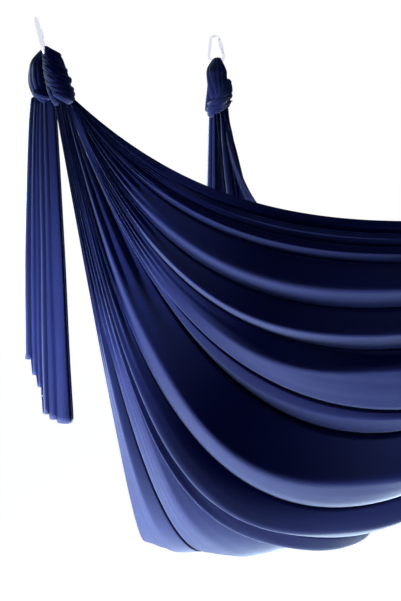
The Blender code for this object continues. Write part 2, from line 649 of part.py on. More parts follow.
def sling_point(index, step, along):
    """A point of a fold: its lower flank takes the first steps and its upper slope the rest."""
    low, height_beside, height_middle, flank_beside, flank_middle = FOLDS[index]
    high = FOLDS[index + 1][0] if index + 1 < len(FOLDS) else 1.0
    end = FRONT if along <= 0.5 else REAR
    reach = 1 - abs(2 * along - 1)
    middle = smooth(FOLD_MIDDLE_START, FOLD_MIDDLE_END, reach)
    flank = flank_beside + (flank_middle - flank_beside) * middle
    if step <= FOLD_FLANK_STEPS:
        share = flank * step / FOLD_FLANK_STEPS
    else:
        share = flank + (1 - flank) * (step - FOLD_FLANK_STEPS) / FOLD_SLOPE_STEPS
    across = low + (high - low) * share
    near = DIRECTION_STEP
    over = sling_base(min(across + near, 1.0), along) - sling_base(max(across - near, 0.0), along)
    run = sling_base(across, min(along + near, 1.0)) - sling_base(across, max(along - near, 0.0))
    exit_width = (sling_exit(end, 1.0) - sling_exit(end, 0.0)).length
    crowded = FOLD_CROWDING * (high - low) * exit_width
    full = height_beside + (height_middle - height_beside) * middle
    height = crowded + (full - crowded) * smooth(0.0, FOLD_OPENING, reach)
    rise = height * fold_rise(share, flank)
    spot = sling_base(across, along) + run.cross(over).normalized() * rise - over.normalized() * rise * FOLD_DROOP
    if reach == 0.0:
        centre = knot_centre(end)
        return knot_surface(end, spot - centre, SLING_END_GAP)
    return spot


def build_sling(cloth):
    steps = FOLD_FLANK_STEPS + FOLD_SLOPE_STEPS
    stations = [(index, step) for index in range(len(FOLDS)) for step in range(steps)]
    stations.append((len(FOLDS) - 1, steps))
    points = []
    faces = []
    for row in range(SLING_ROWS + 1):
        share = row / SLING_ROWS
        along = share - SLING_ROW_CROWDING * math.sin(2 * math.pi * share) / (2 * math.pi)
        points += [sling_point(index, step, along) for index, step in stations]
    count = len(stations)
    for row in range(SLING_ROWS):
        for k in range(count - 1):
            a = row * count + k
            faces.append((a, a + 1, a + 1 + count, a + count))
    sling = make_object("sling", points, faces, cloth)
    wall = sling.modifiers.new("cloth thickness", 'SOLIDIFY')
    wall.thickness = CLOTH_THICKNESS
    wall.offset = 0.0
    return sling


# Tails

def build_tail(end, cloth):
    """Pleated free end below the knot, with its hem stepped where the folds hang at different heights."""
    knot = knot_centre(end)
    columns = []
    left = 0.0
    for width, rise in end["tail_folds"]:
        for step in range(TAIL_FOLD_STEPS):
            columns.append((left + width * step / TAIL_FOLD_STEPS, step / TAIL_FOLD_STEPS, rise))
        left += width
    columns.append((1.0, 1.0, end["tail_folds"][-1][1]))
    points = []
    faces = []
    for row in range(TAIL_ROWS + 1):
        share = row / TAIL_ROWS
        for side, fold, rise in columns:
            drop = (TAIL_LENGTH - rise) * share
            spread = (drop / TAIL_LENGTH) ** TAIL_OPENING
            width = TAIL_TOP_WIDTH + (TAIL_WIDTH - TAIL_TOP_WIDTH) * spread
            height = TAIL_FOLD_HEIGHT_AT_KNOT + (TAIL_FOLD_HEIGHT - TAIL_FOLD_HEIGHT_AT_KNOT) * spread
            shift = end["tail_shift"][0] + (end["tail_shift"][1] - end["tail_shift"][0]) * spread
            points.append(knot + Vector((0.0, 0.0, TAIL_TOP_RISE - drop)) + RIGHT * (shift + width * (side - 0.5))
                          + AHEAD * (end["tail_ahead"] + height * math.cos(2 * math.pi * fold)))
    count = len(columns)
    for row in range(TAIL_ROWS):
        for k in range(count - 1):
            a = row * count + k
            faces.append((a, a + 1, a + 1 + count, a + count))
    tail = make_object(end["name"] + "_tail", points, faces, cloth)
    wall = tail.modifiers.new("cloth thickness", 'SOLIDIFY')
    wall.thickness = CLOTH_THICKNESS
    wall.offset = 0.0
    cut(tail, end["name"] + "_tail_seat_cutter", *knot_shape(end, KNOT_GAP), None)
    return tail


def main():
    clear_scene()
    cloth = make_material("navy tricot", NAVY, 0.75, 0.0)
    metal = make_material("polished aluminium", ALUMINIUM, 0.25, 1.0)
    steel = make_material("bright steel", STEEL, 0.30, 1.0)
    for end in (FRONT, REAR):
        build_carabiner(end, metal, steel)
        build_knot(end, cloth)
        build_tail(end, cloth)
    build_sling(cloth)


main()
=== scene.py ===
import json
import math
import bmesh
import bpy
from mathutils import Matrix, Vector, noise


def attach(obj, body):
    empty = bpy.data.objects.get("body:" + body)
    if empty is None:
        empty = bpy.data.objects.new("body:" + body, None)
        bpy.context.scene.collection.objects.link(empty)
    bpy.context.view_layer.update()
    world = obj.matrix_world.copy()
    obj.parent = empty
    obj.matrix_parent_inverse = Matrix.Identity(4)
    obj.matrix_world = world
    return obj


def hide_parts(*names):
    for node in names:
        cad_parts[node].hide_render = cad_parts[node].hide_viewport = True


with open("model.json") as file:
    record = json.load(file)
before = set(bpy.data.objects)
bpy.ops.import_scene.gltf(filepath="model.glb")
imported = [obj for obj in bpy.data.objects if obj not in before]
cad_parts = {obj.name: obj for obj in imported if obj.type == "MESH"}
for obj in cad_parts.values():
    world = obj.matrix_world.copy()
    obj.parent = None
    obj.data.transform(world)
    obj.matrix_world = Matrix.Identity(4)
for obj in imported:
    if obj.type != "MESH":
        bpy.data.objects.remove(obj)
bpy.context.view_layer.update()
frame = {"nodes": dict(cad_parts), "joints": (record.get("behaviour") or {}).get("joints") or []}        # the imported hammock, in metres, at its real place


# The view and the light

viewTurn = math.radians(32)                # the camera looks along +Y, turned this far to the left
rightWay = Vector((math.cos(viewTurn), math.sin(viewTurn), 0))
aheadWay = Vector((-math.sin(viewTurn), math.cos(viewTurn), 0))
worldMiddle = Vector((0, 0, 0))
pureWhite = (1, 1, 1, 1)

cameraSettings = {"place": (1.777, -1.93, -0.332), "tilt": math.radians(78.8), "lens": 50.0, "sensor": 36.0}
floorSettings = {
    "middle": (0.5, 0.5), "height": -3.0, "reach": 16.0,
    "colour": (0.8, 0.8, 0.8, 1), "roughness": 0.9, "glow": 0.95,
}
worldSettings = {"fill": 0.10, "fillColour": (0.10, 0.20, 1.0, 1), "white": 1.0}
lampSettings = [
    # name, place (across, toward the camera, up), size, watts, aimed at, cone in degrees or 0 for none
    ("lowKey", (-0.88, 0.28, -2.86), 1.2, 310, (0.8, 0.0, -1.2), 0),
    ("backFill", (0.6, -2.6, -1.2), 2.0, 12, (0.5, 0.0, -1.1), 0),
    ("pouchKey", (0.95, 2.8, -2.95), 0.6, 700, (1.42, 0.25, -1.35), 27),
    ("tailKey", (-1.3, 1.7, -2.0), 0.5, 800, (-0.12, 0.0, -0.95), 26),
]


def viewSpot(origin, right, ahead, up):
    return origin + rightWay * right + aheadWay * ahead + Vector((0, 0, up))


def makeCamera():
    data = bpy.data.cameras.new("photoCamera")
    data.lens = cameraSettings["lens"]
    data.sensor_width = cameraSettings["sensor"]
    camera = bpy.data.objects.new("photoCamera", data)
    camera.location = cameraSettings["place"]
    camera.rotation_euler = (cameraSettings["tilt"], 0, viewTurn)
    bpy.context.collection.objects.link(camera)
    bpy.context.scene.camera = camera


def lampPlace(across, toward, up):
    return viewSpot(worldMiddle, across, -toward, up)


def makeLamps():
    for name, place, size, watts, target, cone in lampSettings:
        data = bpy.data.lights.new(name, "SPOT" if cone else "AREA")
        if cone:
            data.spot_size = math.radians(cone)
            data.spot_blend = 1.0                          # the light fades out toward the cone's edge
            data.shadow_soft_size = size / 2
        else:
            data.size = size
        data.energy = watts
        lamp = bpy.data.objects.new(name, data)
        lamp.location = lampPlace(*place)
        aim = lampPlace(*target) - lamp.location
        lamp.rotation_euler = aim.to_track_quat("-Z", "Y").to_euler()
        lamp.visible_camera = False
        bpy.context.collection.objects.link(lamp)


def seenDirectly(nodes, links):
    # 1 for rays that the camera sees, also mirrored or through glass, and 0 for rays that light the cloth
    path = nodes.new("ShaderNodeLightPath")
    seen = path.outputs["Is Camera Ray"]
    for kind in ("Is Glossy Ray", "Is Transmission Ray"):
        either = nodes.new("ShaderNodeMath")
        either.operation = "MAXIMUM"
        links.new(seen, either.inputs[0])
        links.new(path.outputs[kind], either.inputs[1])
        seen = either.outputs[0]
    return seen


def makeWorld():
    world = bpy.data.worlds.new("paleStudio")
    world.use_nodes = True
    nodes, links = world.node_tree.nodes, world.node_tree.links
    nodes.clear()
    mix = nodes.new("ShaderNodeMixShader")
    links.new(seenDirectly(nodes, links), mix.inputs["Fac"])
    for socket, colour, strength in ((1, worldSettings["fillColour"], worldSettings["fill"]),
                                     (2, pureWhite, worldSettings["white"])):
        background = nodes.new("ShaderNodeBackground")
        background.inputs["Color"].default_value = colour
        background.inputs["Strength"].default_value = strength
        links.new(background.outputs[0], mix.inputs[socket])
    out = nodes.new("ShaderNodeOutputWorld")
    links.new(mix.outputs[0], out.inputs["Surface"])
    bpy.context.scene.world = world


def newMaterial(name):
    material = bpy.data.materials.new(name)
    material.use_nodes = True
    nodes, links = material.node_tree.nodes, material.node_tree.links
    return material, nodes, links, nodes["Principled BSDF"]


def makeFloor():
    bpy.ops.mesh.primitive_plane_add(size=floorSettings["reach"],
                                     location=(*floorSettings["middle"], floorSettings["height"]))
    floor = bpy.context.object
    floor.name = "paleFloor"
    material, nodes, links, surface = newMaterial("paleFloor")
    surface.inputs["Base Color"].default_value = floorSettings["colour"]
    surface.inputs["Roughness"].default_value = floorSettings["roughness"]
    surface.inputs["Emission Color"].default_value = pureWhite
    glow = nodes.new("ShaderNodeMath")
    glow.operation = "MULTIPLY"
    glow.inputs[1].default_value = floorSettings["glow"]
    links.new(seenDirectly(nodes, links), glow.inputs[0])
    links.new(glow.outputs[0], surface.inputs["Emission Strength"])
    floor.data.materials.append(material)


bpy.context.scene.view_settings.view_transform = "Standard"
makeCamera()
makeLamps()
makeWorld()
makeFloor()
print("view, lamps and floor are set")


# Cloth finish

tricotSettings = {
    "base": (0.005, 0.010, 0.082, 1), "deep": (0.003, 0.006, 0.060, 1), "roughness": 0.62, "specular": 0.02,
    "sheen": 0.80, "sheenRoughness": 0.44, "sheenTint": (0.62, 0.79, 1.0, 1),
    "cloudScale": 9, "cloudDetail": 3, "grainScale": 230, "grainDetail": 5, "grainHeight": 0.0008,
    "walesScale": 55, "walesDistortion": 0.6, "walesShare": 0.08,
}
layName = "clothLay"                       # the UV map that holds each point's place on the flat cloth


def noiseTexture(nodes, links, place, scale, detail):
    texture = nodes.new("ShaderNodeTexNoise")
    texture.inputs["Scale"].default_value = scale
    texture.inputs["Detail"].default_value = detail
    links.new(place.outputs["Object"], texture.inputs["Vector"])
    return texture.outputs["Fac"]


def addBump(nodes, links, height, distance, surface):
    bump = nodes.new("ShaderNodeBump")
    bump.inputs["Distance"].default_value = distance
    links.new(height, bump.inputs["Height"])
    links.new(bump.outputs["Normal"], surface.inputs["Normal"])


def tricotMaterial():
    material, nodes, links, surface = newMaterial("navyTricot")
    surface.inputs["Roughness"].default_value = tricotSettings["roughness"]
    surface.inputs["Specular IOR Level"].default_value = tricotSettings["specular"]
    surface.inputs["Sheen Weight"].default_value = tricotSettings["sheen"]
    surface.inputs["Sheen Roughness"].default_value = tricotSettings["sheenRoughness"]
    surface.inputs["Sheen Tint"].default_value = tricotSettings["sheenTint"]
    place = nodes.new("ShaderNodeTexCoord")
    cloud = noiseTexture(nodes, links, place, tricotSettings["cloudScale"], tricotSettings["cloudDetail"])
    mix = nodes.new("ShaderNodeMix")
    mix.data_type = "RGBA"
    mix.inputs["A"].default_value = tricotSettings["deep"]
    mix.inputs["B"].default_value = tricotSettings["base"]
    links.new(cloud, mix.inputs["Factor"])
    links.new(mix.outputs["Result"], surface.inputs["Base Color"])
    # the fine mottle of a stretched knit, and its ribs, which run along the cloth
    grain = noiseTexture(nodes, links, place, tricotSettings["grainScale"], tricotSettings["grainDetail"])
    cloth = nodes.new("ShaderNodeUVMap")
    cloth.uv_map = layName
    wales = nodes.new("ShaderNodeTexWave")
    wales.inputs["Scale"].default_value = tricotSettings["walesScale"]
    wales.inputs["Distortion"].default_value = tricotSettings["walesDistortion"]
    links.new(cloth.outputs["UV"], wales.inputs["Vector"])
    height = nodes.new("ShaderNodeMath")
    height.operation = "MULTIPLY_ADD"
    height.inputs[1].default_value = tricotSettings["walesShare"]
    links.new(wales.outputs["Fac"], height.inputs[0])
    links.new(grain, height.inputs[2])
    addBump(nodes, links, height.outputs[0], tricotSettings["grainHeight"], surface)
    return material


tricot = tricotMaterial()


# Shared cloth tools

def blend(low, high, share):
    return low + (high - low) * share


def ease(low, high, value):
    share = min(max((value - low) / (high - low), 0.0), 1.0)
    return share * share * (3 - 2 * share)


def makeCloth(name, points, faces, lay):
    mesh = bpy.data.meshes.new(name)
    mesh.from_pydata(points, [], faces)
    layer = mesh.uv_layers.new(name=layName)
    for loop in mesh.loops:
        layer.data[loop.index].uv = lay[loop.vertex_index]
    mesh.shade_smooth()
    mesh.materials.append(tricot)
    piece = bpy.data.objects.new(name, mesh)
    bpy.context.collection.objects.link(piece)
    return piece


def thicken(piece, thickness):
    wall = piece.modifiers.new("thickness", "SOLIDIFY")
    wall.thickness = thickness
    wall.offset = 0


def gridFaces(rows, columns):
    faces = []
    for row in range(rows - 1):
        for column in range(columns - 1):
            corner = row * columns + column
            faces.append((corner, corner + 1, corner + 1 + columns, corner + columns))
    return faces


# each knot's middle, seen from the middle of its carabiner's basket bar: right, ahead, up
knotFromBar = {"front": (0.0257, 0.0029, -0.079), "rear": (0.0137, -0.0222, -0.1274)}


def barPlace(end):
    # the middle of the carabiner's basket bar, which the cloth hangs over, and the bar's direction
    swing = next(joint for joint in frame["joints"] if joint["name"] == end + "_carabiner_swing")
    return Vector(swing["pos_m"]), Vector(swing["axis"])


def knotPlace(end):
    return viewSpot(barPlace(end)[0], *knotFromBar[end])


# Sling

slingSettings = {
    "flatWidth": 2.8, "flatLength": 3.6, "thickness": 0.001,
    "rows": 150, "rowCrowding": 0.35, "intoKnot": 0.008,
    "columnsPerFold": 20, "columnsPerTuck": 6, "slopeSpan": 3,
    # the sling's middle, from its lower edge to its upper rim: x and z of each point
    "section": [(0.010, -1.875), (0.25, -1.845), (0.46, -1.785), (0.67, -1.70), (0.87, -1.605),
                (1.05, -1.47), (1.16, -1.29), (1.21, -1.10), (1.215, -0.92), (1.19, -0.75),
                (1.115, -0.575)],
    # how the cloth leaves its knots: place across, then out, along and down, and its run through the middle
    "guides": [(0.0, 0.150, 0.170, 1.50, 0.060), (0.214, 0.167, 0.197, 1.580, 0.100),
               (0.345, 0.177, 0.216, 1.626, 0.130), (0.569, 0.218, 0.225, 1.738, 0.270),
               (0.690, 0.357, 0.366, 1.420, 0.270), (0.712, 0.302, 0.263, 1.188, 0.310),
               (0.813, 0.284, 0.249, 1.012, 0.310), (0.879, 0.283, 0.257, 0.863, 0.310),
               (0.938, 0.289, 0.266, 0.632, 0.330), (1.0, 0.366, 0.337, 0.460, 0.300)],
    # the places across where the upper rim sets in, how the cloth's run leans there in the middle, and what
    # the rear end adds to the guides
    "rimAcross": (0.6, 1.0), "rimLean": (-0.07, -0.15), "rearRim": (-0.13, -0.06, 0.34, -0.03),
    # a valley and the fold above it: place across, the fold's height beside and in the middle, the share of
    # its lower flank beside and in the middle, and the reach where it opens
    "valleys": [(0.0, 0.030, 0.015, 0.70, 0.62, 0.0), (0.120, 0.050, 0.020, 0.55, 0.50, 0.3),
                (0.320, 0.090, 0.034, 0.34, 0.72, 0.0), (0.440, 0.095, 0.034, 0.36, 0.66, 0.0),
                (0.569, 0.125, 0.078, 0.42, 0.58, 0.0),
                (0.690, 0.020, 0.012, 0.60, 0.80, 0.0), (0.712, 0.066, 0.058, 0.42, 0.84, 0.3),
                (0.813, 0.064, 0.056, 0.42, 0.54, 0.0), (0.879, 0.055, 0.050, 0.44, 0.54, 0.0),
                (0.938, 0.030, 0.026, 0.50, 0.56, 0.0), (0.961, 0.026, 0.022, 0.50, 0.56, 0.2),
                (0.981, 0.014, 0.012, 0.45, 0.40, 0.3), (1.0, 0.0, 0.0, 0.5, 0.5, 0.0)],
    # the reaches, from 0 at a knot to 1 in the middle, over which each change takes place
    "spreadReach": (0.0, 0.55), "middleReach": (0.28, 0.72), "tuckReach": (0.0, 0.25),
    "smallPleatReach": (0.02, 0.25), "openingReach": (-0.1, 0.25),
    "crestRound": 0.15, "crowding": 0.0054, "droop": 0.20,
    "creaseHeight": 0.0016, "creasesAcross": 70, "creasesAlong": 2.5, "creaseSeed": 5.0,
    "tuckMouth": 0.005, "tuckAtKnot": 0.035, "tuckDepth": 0.075, "tuckWay": (0.8, 0.6), "tuckPower": 0.7,
    "smallPleats": 3, "smallPleatDepth": 0.022,
}
# from a knot's middle, the directions to where the lower and the upper edge leave it, and the knot's radii
strandExits = {"front": ((-0.002, -0.014, -0.054), (0.046, -0.012, -0.036)),
               "rear": ((-0.026, -0.012, -0.050), (0.034, -0.008, -0.046))}
knotRadii = {"front": (0.056, 0.050, 0.056), "rear": (0.050, 0.048, 0.054)}
hangSpacing = 1.02                         # from one carabiner to the other


def blendPoints(places, values, where):
    # a smooth curve through values at uneven places
    last = len(places) - 1
    index = 0
    while index < last - 1 and where > places[index + 1]:
        index += 1
    before, after = max(index - 1, 0), min(index + 2, last)
    width = places[index + 1] - places[index]
    share = min(max((where - places[index]) / width, 0.0), 1.0)
    result = []
    for p, q, r, s in zip(values[before], values[index], values[index + 1], values[after]):
        leave = (r - p) / (places[index + 1] - places[before]) * width
        arrive = (s - q) / (places[after] - places[index]) * width
        result.append(q + share * leave + share ** 2 * (3 * (r - q) - 2 * leave - arrive)
                      + share ** 3 * (2 * (q - r) + leave + arrive))
    return result


def sectionPoint(across):
    section = slingSettings["section"]
    places = [k / (len(section) - 1) for k in range(len(section))]
    x, z = blendPoints(places, section, across)
    return Vector((x, hangSpacing / 2, z))


def strandStart(end, across):
    lowerExit, upperExit = strandExits[end]
    right, ahead, up = (blend(a, b, across) for a, b in zip(lowerExit, upperExit))
    wide, deep, high = knotRadii[end]
    reach = 1 / math.sqrt((right / wide) ** 2 + (ahead / deep) ** 2 + (up / high) ** 2)
    return knotPlace(end) + viewSpot(worldMiddle, right, ahead, up) * reach


def slingStrand(across, side):
    # the four Bezier points of one thread line, from its knot to the middle of the sling
    guides = slingSettings["guides"]
    places = [guide[0] for guide in guides]
    out, along, drop, belly = blendPoints(places, [guide[1:] for guide in guides], across)
    rim = ease(*slingSettings["rimAcross"], across)
    if side < 0:
        change = slingSettings["rearRim"]
        out, along = out + change[0] * rim, along + change[1] * rim
        drop, belly = drop + change[2] * rim, belly + change[3] * rim
    start = strandStart("front" if side > 0 else "rear", across)
    middle = sectionPoint(across)
    leanOut, leanUp = slingSettings["rimLean"]
    line = Vector((leanOut * rim, 1.0, leanUp * rim)) * belly * side
    return start, start + Vector((out, along * side, -drop)), middle - line, middle


def strandPoint(strand, t):
    a, b, c, d = strand
    if t < 0:                              # straight on into the knot
        return a + (b - a) * 3 * t
    return a * (1 - t) ** 3 + b * 3 * t * (1 - t) ** 2 + c * 3 * t * t * (1 - t) + d * t ** 3


def foldColumns():
    # for each thread line: place across, number of its fold, share of that fold, how far it is tucked in
    columns = []
    valleys = slingSettings["valleys"]
    mouth = slingSettings["tuckMouth"]
    count, tuckCount = slingSettings["columnsPerFold"], slingSettings["columnsPerTuck"]
    for index in range(len(valleys) - 1):
        low, high = valleys[index][0], valleys[index + 1][0]
        if index > 0:
            for k in range(tuckCount):
                share = (k + 0.5) / tuckCount
                tuck = math.sin(math.pi * share) ** slingSettings["tuckPower"]
                columns.append((low + mouth * (share - 0.5), index, 0.0, tuck))
        for k in range(count + 1):
            share = k / count
            columns.append((low + mouth / 2 + (high - low - mouth) * share, index, share, 0.0))
    return columns


def foldBulge(share, flank):
    # sharp at both valleys and rounded at the crest, which parts the lower flank from the upper one
    up, down = share / flank, (1 - share) / (1 - flank)
    return (up + down - math.sqrt((up - down) ** 2 + slingSettings["crestRound"] ** 2)) / 2


def slingRows():
    # side, 1 for the front half and -1 for the rear one, and the reach from that side's knot
    rows = []
    total = slingSettings["rows"]
    for row in range(total + 1):
        share = row / total
        along = share - slingSettings["rowCrowding"] * math.sin(2 * math.pi * share) / (2 * math.pi)
        reach = (1 + slingSettings["intoKnot"]) * (1 - abs(2 * along - 1)) - slingSettings["intoKnot"]
        rows.append((1 if along <= 0.5 else -1, reach))
    return rows


def buildSling():
    columns = foldColumns()
    rows = slingRows()
    strands = {side: [slingStrand(column[0], side) for column in columns] for side in (1, -1)}
    base = [[strandPoint(strand, reach) for strand in strands[side]] for side, reach in rows]
    points, lay = [], []
    lastRow, lastColumn = len(rows) - 1, len(columns) - 1
    span = slingSettings["slopeSpan"]
    openingStart, openingEnd = slingSettings["openingReach"]
    tuckOut, tuckOver = slingSettings["tuckWay"]
    for row, (side, reach) in enumerate(rows):
        spread = ease(*slingSettings["spreadReach"], reach)
        middle = ease(*slingSettings["middleReach"], reach)
        tuckDepth = blend(slingSettings["tuckAtKnot"], slingSettings["tuckDepth"],
                          ease(*slingSettings["tuckReach"], reach))
        smallDepth = slingSettings["smallPleatDepth"] * (1 - ease(*slingSettings["smallPleatReach"], reach))
        for k, (across, index, share, tuck) in enumerate(columns):
            over = (base[row][min(k + span, lastColumn)] - base[row][max(k - span, 0)]).normalized()
            run = base[min(row + 1, lastRow)][k] - base[max(row - 1, 0)][k]
            out = run.cross(over).normalized()
            _, beside, inMiddle, flankBeside, flankInMiddle, opens = slingSettings["valleys"][index]
            bulge = foldBulge(share, blend(flankBeside, flankInMiddle, middle))
            opened = ease(opens + openingStart, opens + openingEnd, reach) if opens > 0 else 1.0
            height = blend(slingSettings["crowding"], blend(beside, inMiddle, middle), spread)
            lift = height * bulge * opened
            small = 0.5 - 0.5 * math.cos(2 * math.pi * slingSettings["smallPleats"] * share)
            crease = noise.noise(Vector((across * slingSettings["creasesAcross"],
                                         reach * slingSettings["creasesAlong"],
                                         slingSettings["creaseSeed"] * side)))
            spot = base[row][k] + out * lift - over * lift * slingSettings["droop"]
            spot += out * slingSettings["creaseHeight"] * crease
            spot -= out * smallDepth * small
            spot -= (out * tuckOut + over * tuckOver) * tuckDepth * tuck * opened
            points.append(spot)
            lay.append((across * slingSettings["flatWidth"], row / lastRow * slingSettings["flatLength"]))
    sling = makeCloth("sling_cloth", points, gridFaces(len(rows), len(columns)), lay)
    thicken(sling, slingSettings["thickness"])
    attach(sling, "cloth")
    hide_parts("sling")


buildSling()
print("sling is hung")


# Tails

tailSettings = {
    "flatWidth": 2.8, "flatLength": 1.04, "thickness": 0.001,
    "rows": 46, "layers": 21, "columnsPerLayer": 40, "layerSpacing": 0.0022,
    "edgeInset": 0.07, "insetStep": 2.4, "spreadPower": 0.55, "crestLean": 1.5, "crestPower": 0.7,
    # a fold's depth at the knot and at the hem, and how it changes from roll to roll and down the tail
    "foldDepth": (0.004, 0.010),
    "foldChange": {"base": 0.75, "swing": 0.5, "perRoll": 2.1, "perMetre": 2.0},
    # the cloth is drawn together inside the knot: its share there, what it gains, over which share of rows
    "neckStart": 0.45, "neckGain": 0.55, "neckShare": 0.025,
    # slow changes over a tail: size, steps across, shift, steps down and seed
    "drift": (0.035, 2, 0, 1.3, 7.0), "sway": (0.006, 3, 0, 2.2, 3.1), "wave": (0.012, 2, 9, 1.7, 2.0),
    # rolls from left to right: share of the width and rise of the hem
    "front": {"shift": (-0.037, -0.059), "ahead": 0.010, "top": -0.028, "widths": (0.060, 0.160),
              "length": 1.04, "rolls": [(0.17, 0.213), (0.13, 0.160), (0.10, 0.120), (0.14, 0.030),
                                        (0.16, 0.012), (0.30, 0.0)]},
    "rear": {"shift": (-0.012, 0.002), "ahead": 0.034, "top": -0.022, "widths": (0.060, 0.140),
             "length": 1.03, "rolls": [(0.20, 0.05), (0.16, 0.0), (0.24, 0.02), (0.14, 0.10),
                                       (0.26, 0.15)]},
}


def rollAt(rolls, across):
    # which roll a place across lies in, the share of it, and the rise of its hem
    left = 0.0
    for number, (width, rise) in enumerate(rolls):
        if across <= left + width or number == len(rolls) - 1:
            return number, min((across - left) / width, 1.0), rise
        left += width


def slowChange(name, across, drop):
    size, stepsAcross, shift, stepsDown, seed = tailSettings[name]
    return size * noise.noise(Vector((across * stepsAcross + shift, drop * stepsDown, seed)))


def tailColumns():
    # for each column: place across, and depth in the stack of layers, which run to and fro
    layers, steps = tailSettings["layers"], tailSettings["columnsPerLayer"]
    columns = []
    for layer in range(layers):
        inset = tailSettings["edgeInset"] * (0.5 + 0.5 * math.sin(tailSettings["insetStep"] * layer))
        for k in range(steps):
            over = (k + 0.5) / steps
            over = over if layer % 2 == 0 else 1 - over
            columns.append((inset + (1 - 2 * inset) * over, layer / (layers - 1)))
    return columns


def tailFold(rolls, across, drop, spread):
    # how far the cloth bulges at a place across, toward whichever face of the tail it lies near
    drifted = across + slowChange("drift", across, drop) * spread
    number, place, _ = rollAt(rolls, min(max(drifted, 0.0), 1.0))
    crest = math.sin(math.pi * place ** tailSettings["crestLean"]) ** tailSettings["crestPower"]
    change = tailSettings["foldChange"]
    swing = change["swing"] * math.sin(number * change["perRoll"] + drop * change["perMetre"])
    return blend(*tailSettings["foldDepth"], spread) * (crest - 0.5) * (change["base"] + swing)


def buildTail(end):
    # the gathered cloth hangs as a stack of folded layers, and the outer ones carry the folds that show
    settings = tailSettings[end]
    columns = tailColumns()
    rows = tailSettings["rows"] + 1
    thickness = tailSettings["layerSpacing"] * (tailSettings["layers"] - 1)
    knot = knotPlace(end)
    points, lay = [], []
    for row in range(rows):
        share = row / tailSettings["rows"]
        neckOpen = ease(0, tailSettings["neckShare"], share)
        neck = tailSettings["neckStart"] + tailSettings["neckGain"] * neckOpen
        for number, (across, depth) in enumerate(columns):
            rise = rollAt(settings["rolls"], across)[2]
            drop = (settings["length"] - rise) * share
            spread = (drop / settings["length"]) ** tailSettings["spreadPower"]
            fold = tailFold(settings["rolls"], across, drop, spread)
            width = blend(*settings["widths"], spread) * neck
            sway = slowChange("sway", across, drop) * spread
            wave = slowChange("wave", across, drop) * spread
            right = blend(*settings["shift"], spread) + width * (across - 0.5) + sway
            back = settings["ahead"] + thickness * neck * (depth - 0.5) - (1 - 2 * depth) * fold + wave
            points.append(viewSpot(knot, right, back, settings["top"] - drop))
            lay.append((number / (len(columns) - 1) * tailSettings["flatWidth"],
                        share * tailSettings["flatLength"]))
    tail = makeCloth(end + "_tail_cloth", points, gridFaces(rows, len(columns)), lay)
    thicken(tail, tailSettings["thickness"])
    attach(tail, "cloth")
    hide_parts(end + "_tail")


buildTail("front")
buildTail("rear")
print("tails are hung")


# Knots

knotSettings = {
    "sides": 96, "stepsPerSpan": 8, "ringPoints": 8,
    # on a bundle of gathered cloth: the pleats' depth and its change, the lumps' size, and the metres of
    # flat cloth round it and along it
    "pleatDepth": 0.16, "pleatChange": (0.7, 0.6), "lumpSize": 0.10, "bundleLay": (0.2, 0.12),
    # slow changes round and along a bundle: steps round it and steps along it
    "warpSize": 0.35, "warpSteps": (1.3, 0.02), "lumpSteps": (0.8, 0.07),
    # number of pleats, twist over the bundle's length, and seed
    "loopPleats": (11, 0.8, 1.7), "turnPleats": (13, 0.0, 4.1),
    # half width and half thickness of the turns, of the foot's turns, and of the loop's crown over the bar
    "turnBand": (0.014, 0.010), "footBand": (0.010, 0.010), "crownSize": (0.017, 0.0085), "crownGap": 0.006,
    # the turns are thicker halfway down, and don't lie quite parallel
    "turnSwell": 0.22, "slip": {"right": 0.002, "tilt": 7, "step": 2.6, "start": 1},
    "front": {
        # right, ahead and up from the knot's middle, then half width along the bar and half thickness
        "loop": [(-0.026, 0.0, -0.054, 0.022, 0.014), (-0.042, 0.0, -0.032, 0.028, 0.024),
                 (-0.051, 0.0, 0.000, 0.030, 0.028), (-0.053, 0.0, 0.032, 0.028, 0.026),
                 (-0.050, 0.0, 0.060, 0.024, 0.019), "crown", (-0.004, 0.0, 0.070, 0.026, 0.024),
                 (0.005, 0.0, 0.036, 0.034, 0.030), (0.012, 0.0, 0.0, 0.036, 0.034)],
        # the first and the last of the wound turns: middle (right, up), tilt, half length, half depth
        "turns": [(-0.010, 0.084, -34, 0.021, 0.020), (0.018, -0.034, -26, 0.035, 0.040)], "turnCount": 10,
        "foot": [(-0.040, -0.036, -16, 0.022, 0.026), (-0.006, -0.032, -70, 0.030, 0.034)],
    },
    "rear": {
        "loop": [(-0.002, 0.006, -0.046, 0.026, 0.014), (-0.004, 0.022, -0.012, 0.032, 0.018),
                 (-0.008, 0.030, 0.030, 0.036, 0.018), (-0.012, 0.026, 0.070, 0.040, 0.015),
                 (-0.014, 0.020, 0.098, 0.040, 0.012), "crown", (-0.016, -0.018, 0.100, 0.040, 0.012),
                 (-0.016, -0.026, 0.070, 0.041, 0.015), (-0.012, -0.030, 0.036, 0.038, 0.018),
                 (-0.006, -0.026, 0.0, 0.036, 0.020), (-0.004, -0.010, -0.034, 0.028, 0.016)],
        "turns": [(0.008, 0.030, 42, 0.034, 0.036), (-0.008, -0.050, 28, 0.040, 0.040)], "turnCount": 8,
        "foot": [(-0.046, 0.004, 84, 0.056, 0.008)],
    },
}


def smoothLine(rows, closed):
    # a smooth curve through all rows, with even steps between each two of them
    line = []
    count = len(rows)
    steps = knotSettings["stepsPerSpan"]
    for index in range(count if closed else count - 1):
        picks = []
        for place in range(index - 1, index + 3):
            picks.append(rows[place % count] if closed else rows[min(max(place, 0), count - 1)])
        for k in range(steps):
            t = k / steps
            line.append([0.5 * (2 * q + (r - p) * t + (2 * p - 5 * q + 4 * r - s) * t ** 2
                                + (3 * q - p - 3 * r + s) * t ** 3) for p, q, r, s in zip(*picks)])
    if not closed:
        line.append(list(rows[-1]))
    return line


